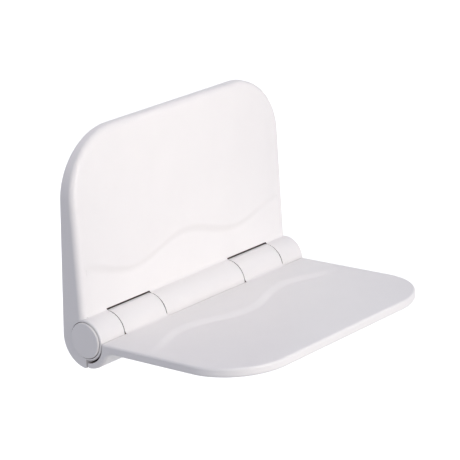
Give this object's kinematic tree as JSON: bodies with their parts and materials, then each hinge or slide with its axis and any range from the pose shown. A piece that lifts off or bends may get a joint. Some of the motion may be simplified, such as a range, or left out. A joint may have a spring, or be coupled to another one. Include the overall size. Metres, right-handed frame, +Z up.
{
  "type": "wall-mounted folding shower seat",
  "caption": "White plastic shower seat for wall fixing: a back panel with rounded corners and a seat panel that folds up flat against it on a barrel hinge.",
  "frame": {"origin": "middle of the four wall holes of the bracket, on the wall's face", "axes": "+X along the hinge, to the right as seen from the room; +Y into the wall; +Z up"},
  "size_m": [0.389, 0.2822, 0.2844],
  "materials": {
    "white_plastic": "satin gloss moulded white",
    "stainless_steel": "brushed",
    "nylon": "natural nylon, matt",
    "rubber": "matt black"
  },
  "bodies": {
    "back": {"back_panel": "white_plastic", "wall_bracket": "stainless_steel", "bracket_nuts": "stainless_steel", "lock_screws": "stainless_steel", "axle": "stainless_steel", "axle_washers": "stainless_steel", "axle_screws": "stainless_steel", "end_cap_left": "white_plastic", "end_cap_right": "white_plastic", "stop_buffer_1": "rubber", "stop_buffer_2": "rubber", "stop_buffer_3": "rubber", "stop_buffer_4": "rubber"},
    "seat": {"seat_panel": "white_plastic", "seat_cover": "white_plastic", "cover_screws": "stainless_steel", "stiffener_left": "stainless_steel", "stiffener_right": "stainless_steel", "bush_1": "nylon", "bush_2": "nylon", "bush_3": "nylon", "bush_4": "nylon"}
  },
  "joints": [
    {"name": "seat_fold", "type": "hinge", "parent": "back", "child": "seat", "pos_m": [0, -0.0364, -0.097], "axis": [-1, 0, 0], "range_deg": [0, 90]}
  ]
}
